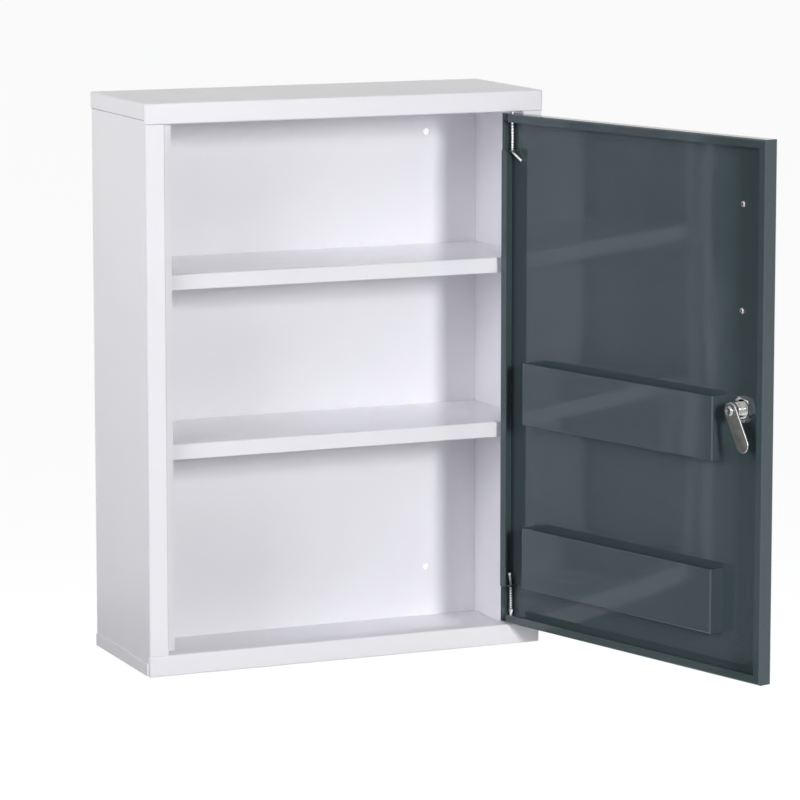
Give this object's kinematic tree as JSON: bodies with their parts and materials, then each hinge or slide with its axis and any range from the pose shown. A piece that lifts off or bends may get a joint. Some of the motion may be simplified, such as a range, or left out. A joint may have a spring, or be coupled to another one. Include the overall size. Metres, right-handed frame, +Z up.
{
  "type": "lockable medicine cabinet",
  "caption": "Wall-mounted sheet-steel medicine cabinet with fixed shelves and an inset door on sprung pivot pins, with inside pockets, a cam lock and a bow handle.",
  "frame": {"origin": "centre of the four wall holes, on the back face of the cabinet", "axes": "+X to the right seen from the front (the hinge side), +Y from the front into the wall, +Z up"},
  "size_m": [0.4895, 0.4818, 0.533],
  "materials": {
    "white_enamel": "semi-gloss powder coat",
    "slate_enamel": "glossy slate-grey enamel",
    "zinc_steel": "bright zinc-plated steel",
    "spring_steel": "bright spring wire",
    "chrome": "polished",
    "brass": "satin",
    "white_plastic": "matte"
  },
  "bodies": {
    "cabinet": {"top_cap": "white_enamel", "bottom_pan": "white_enamel", "left_side_panel": "white_enamel", "right_side_panel": "white_enamel", "back_panel": "white_enamel", "upper_shelf": "white_enamel", "lower_shelf": "white_enamel", "bearing_washer": "white_plastic"},
    "door": {"door_panel": "slate_enamel", "upper_door_pocket": "slate_enamel", "lower_door_pocket": "slate_enamel", "upper_pin_bracket": "slate_enamel", "lower_pin_bracket": "slate_enamel", "pull_handle": "chrome", "handle_screws": "zinc_steel", "lock_barrel": "chrome", "lock_nut": "chrome", "upper_pin_spring": "spring_steel", "lower_pin_spring": "spring_steel"},
    "lock": {"lock_plug": "brass", "lock_wafers": "brass", "lock_cam": "zinc_steel", "cam_screw": "chrome"},
    "upper_pin": {"upper_pivot_pin": "zinc_steel"},
    "lower_pin": {"lower_pivot_pin": "zinc_steel"}
  },
  "joints": [
    {"name": "door_hinge", "type": "hinge", "parent": "cabinet", "child": "door", "pos_m": [0.171, -0.145, 0], "axis": [0, 0, 1], "range_deg": [-106.3, 13.7]},
    {"name": "lock_turn", "type": "hinge", "parent": "door", "child": "lock", "pos_m": [0.26328, -0.44277, 0], "axis": [-0.9598, -0.2807, 0], "range_deg": [-28, 62]},
    {"name": "upper_pin_slide", "type": "slide", "parent": "door", "child": "upper_pin", "axis": [0, 0, -1], "range_m": [0, 0.008], "stiffness_N_per_m": 400, "springref_m": -0.005, "deforming": ["upper_pin_spring"]},
    {"name": "lower_pin_slide", "type": "slide", "parent": "door", "child": "lower_pin", "axis": [0, 0, 1], "range_m": [0, 0.008], "stiffness_N_per_m": 400, "springref_m": -0.005, "deforming": ["lower_pin_spring"]}
  ]
}
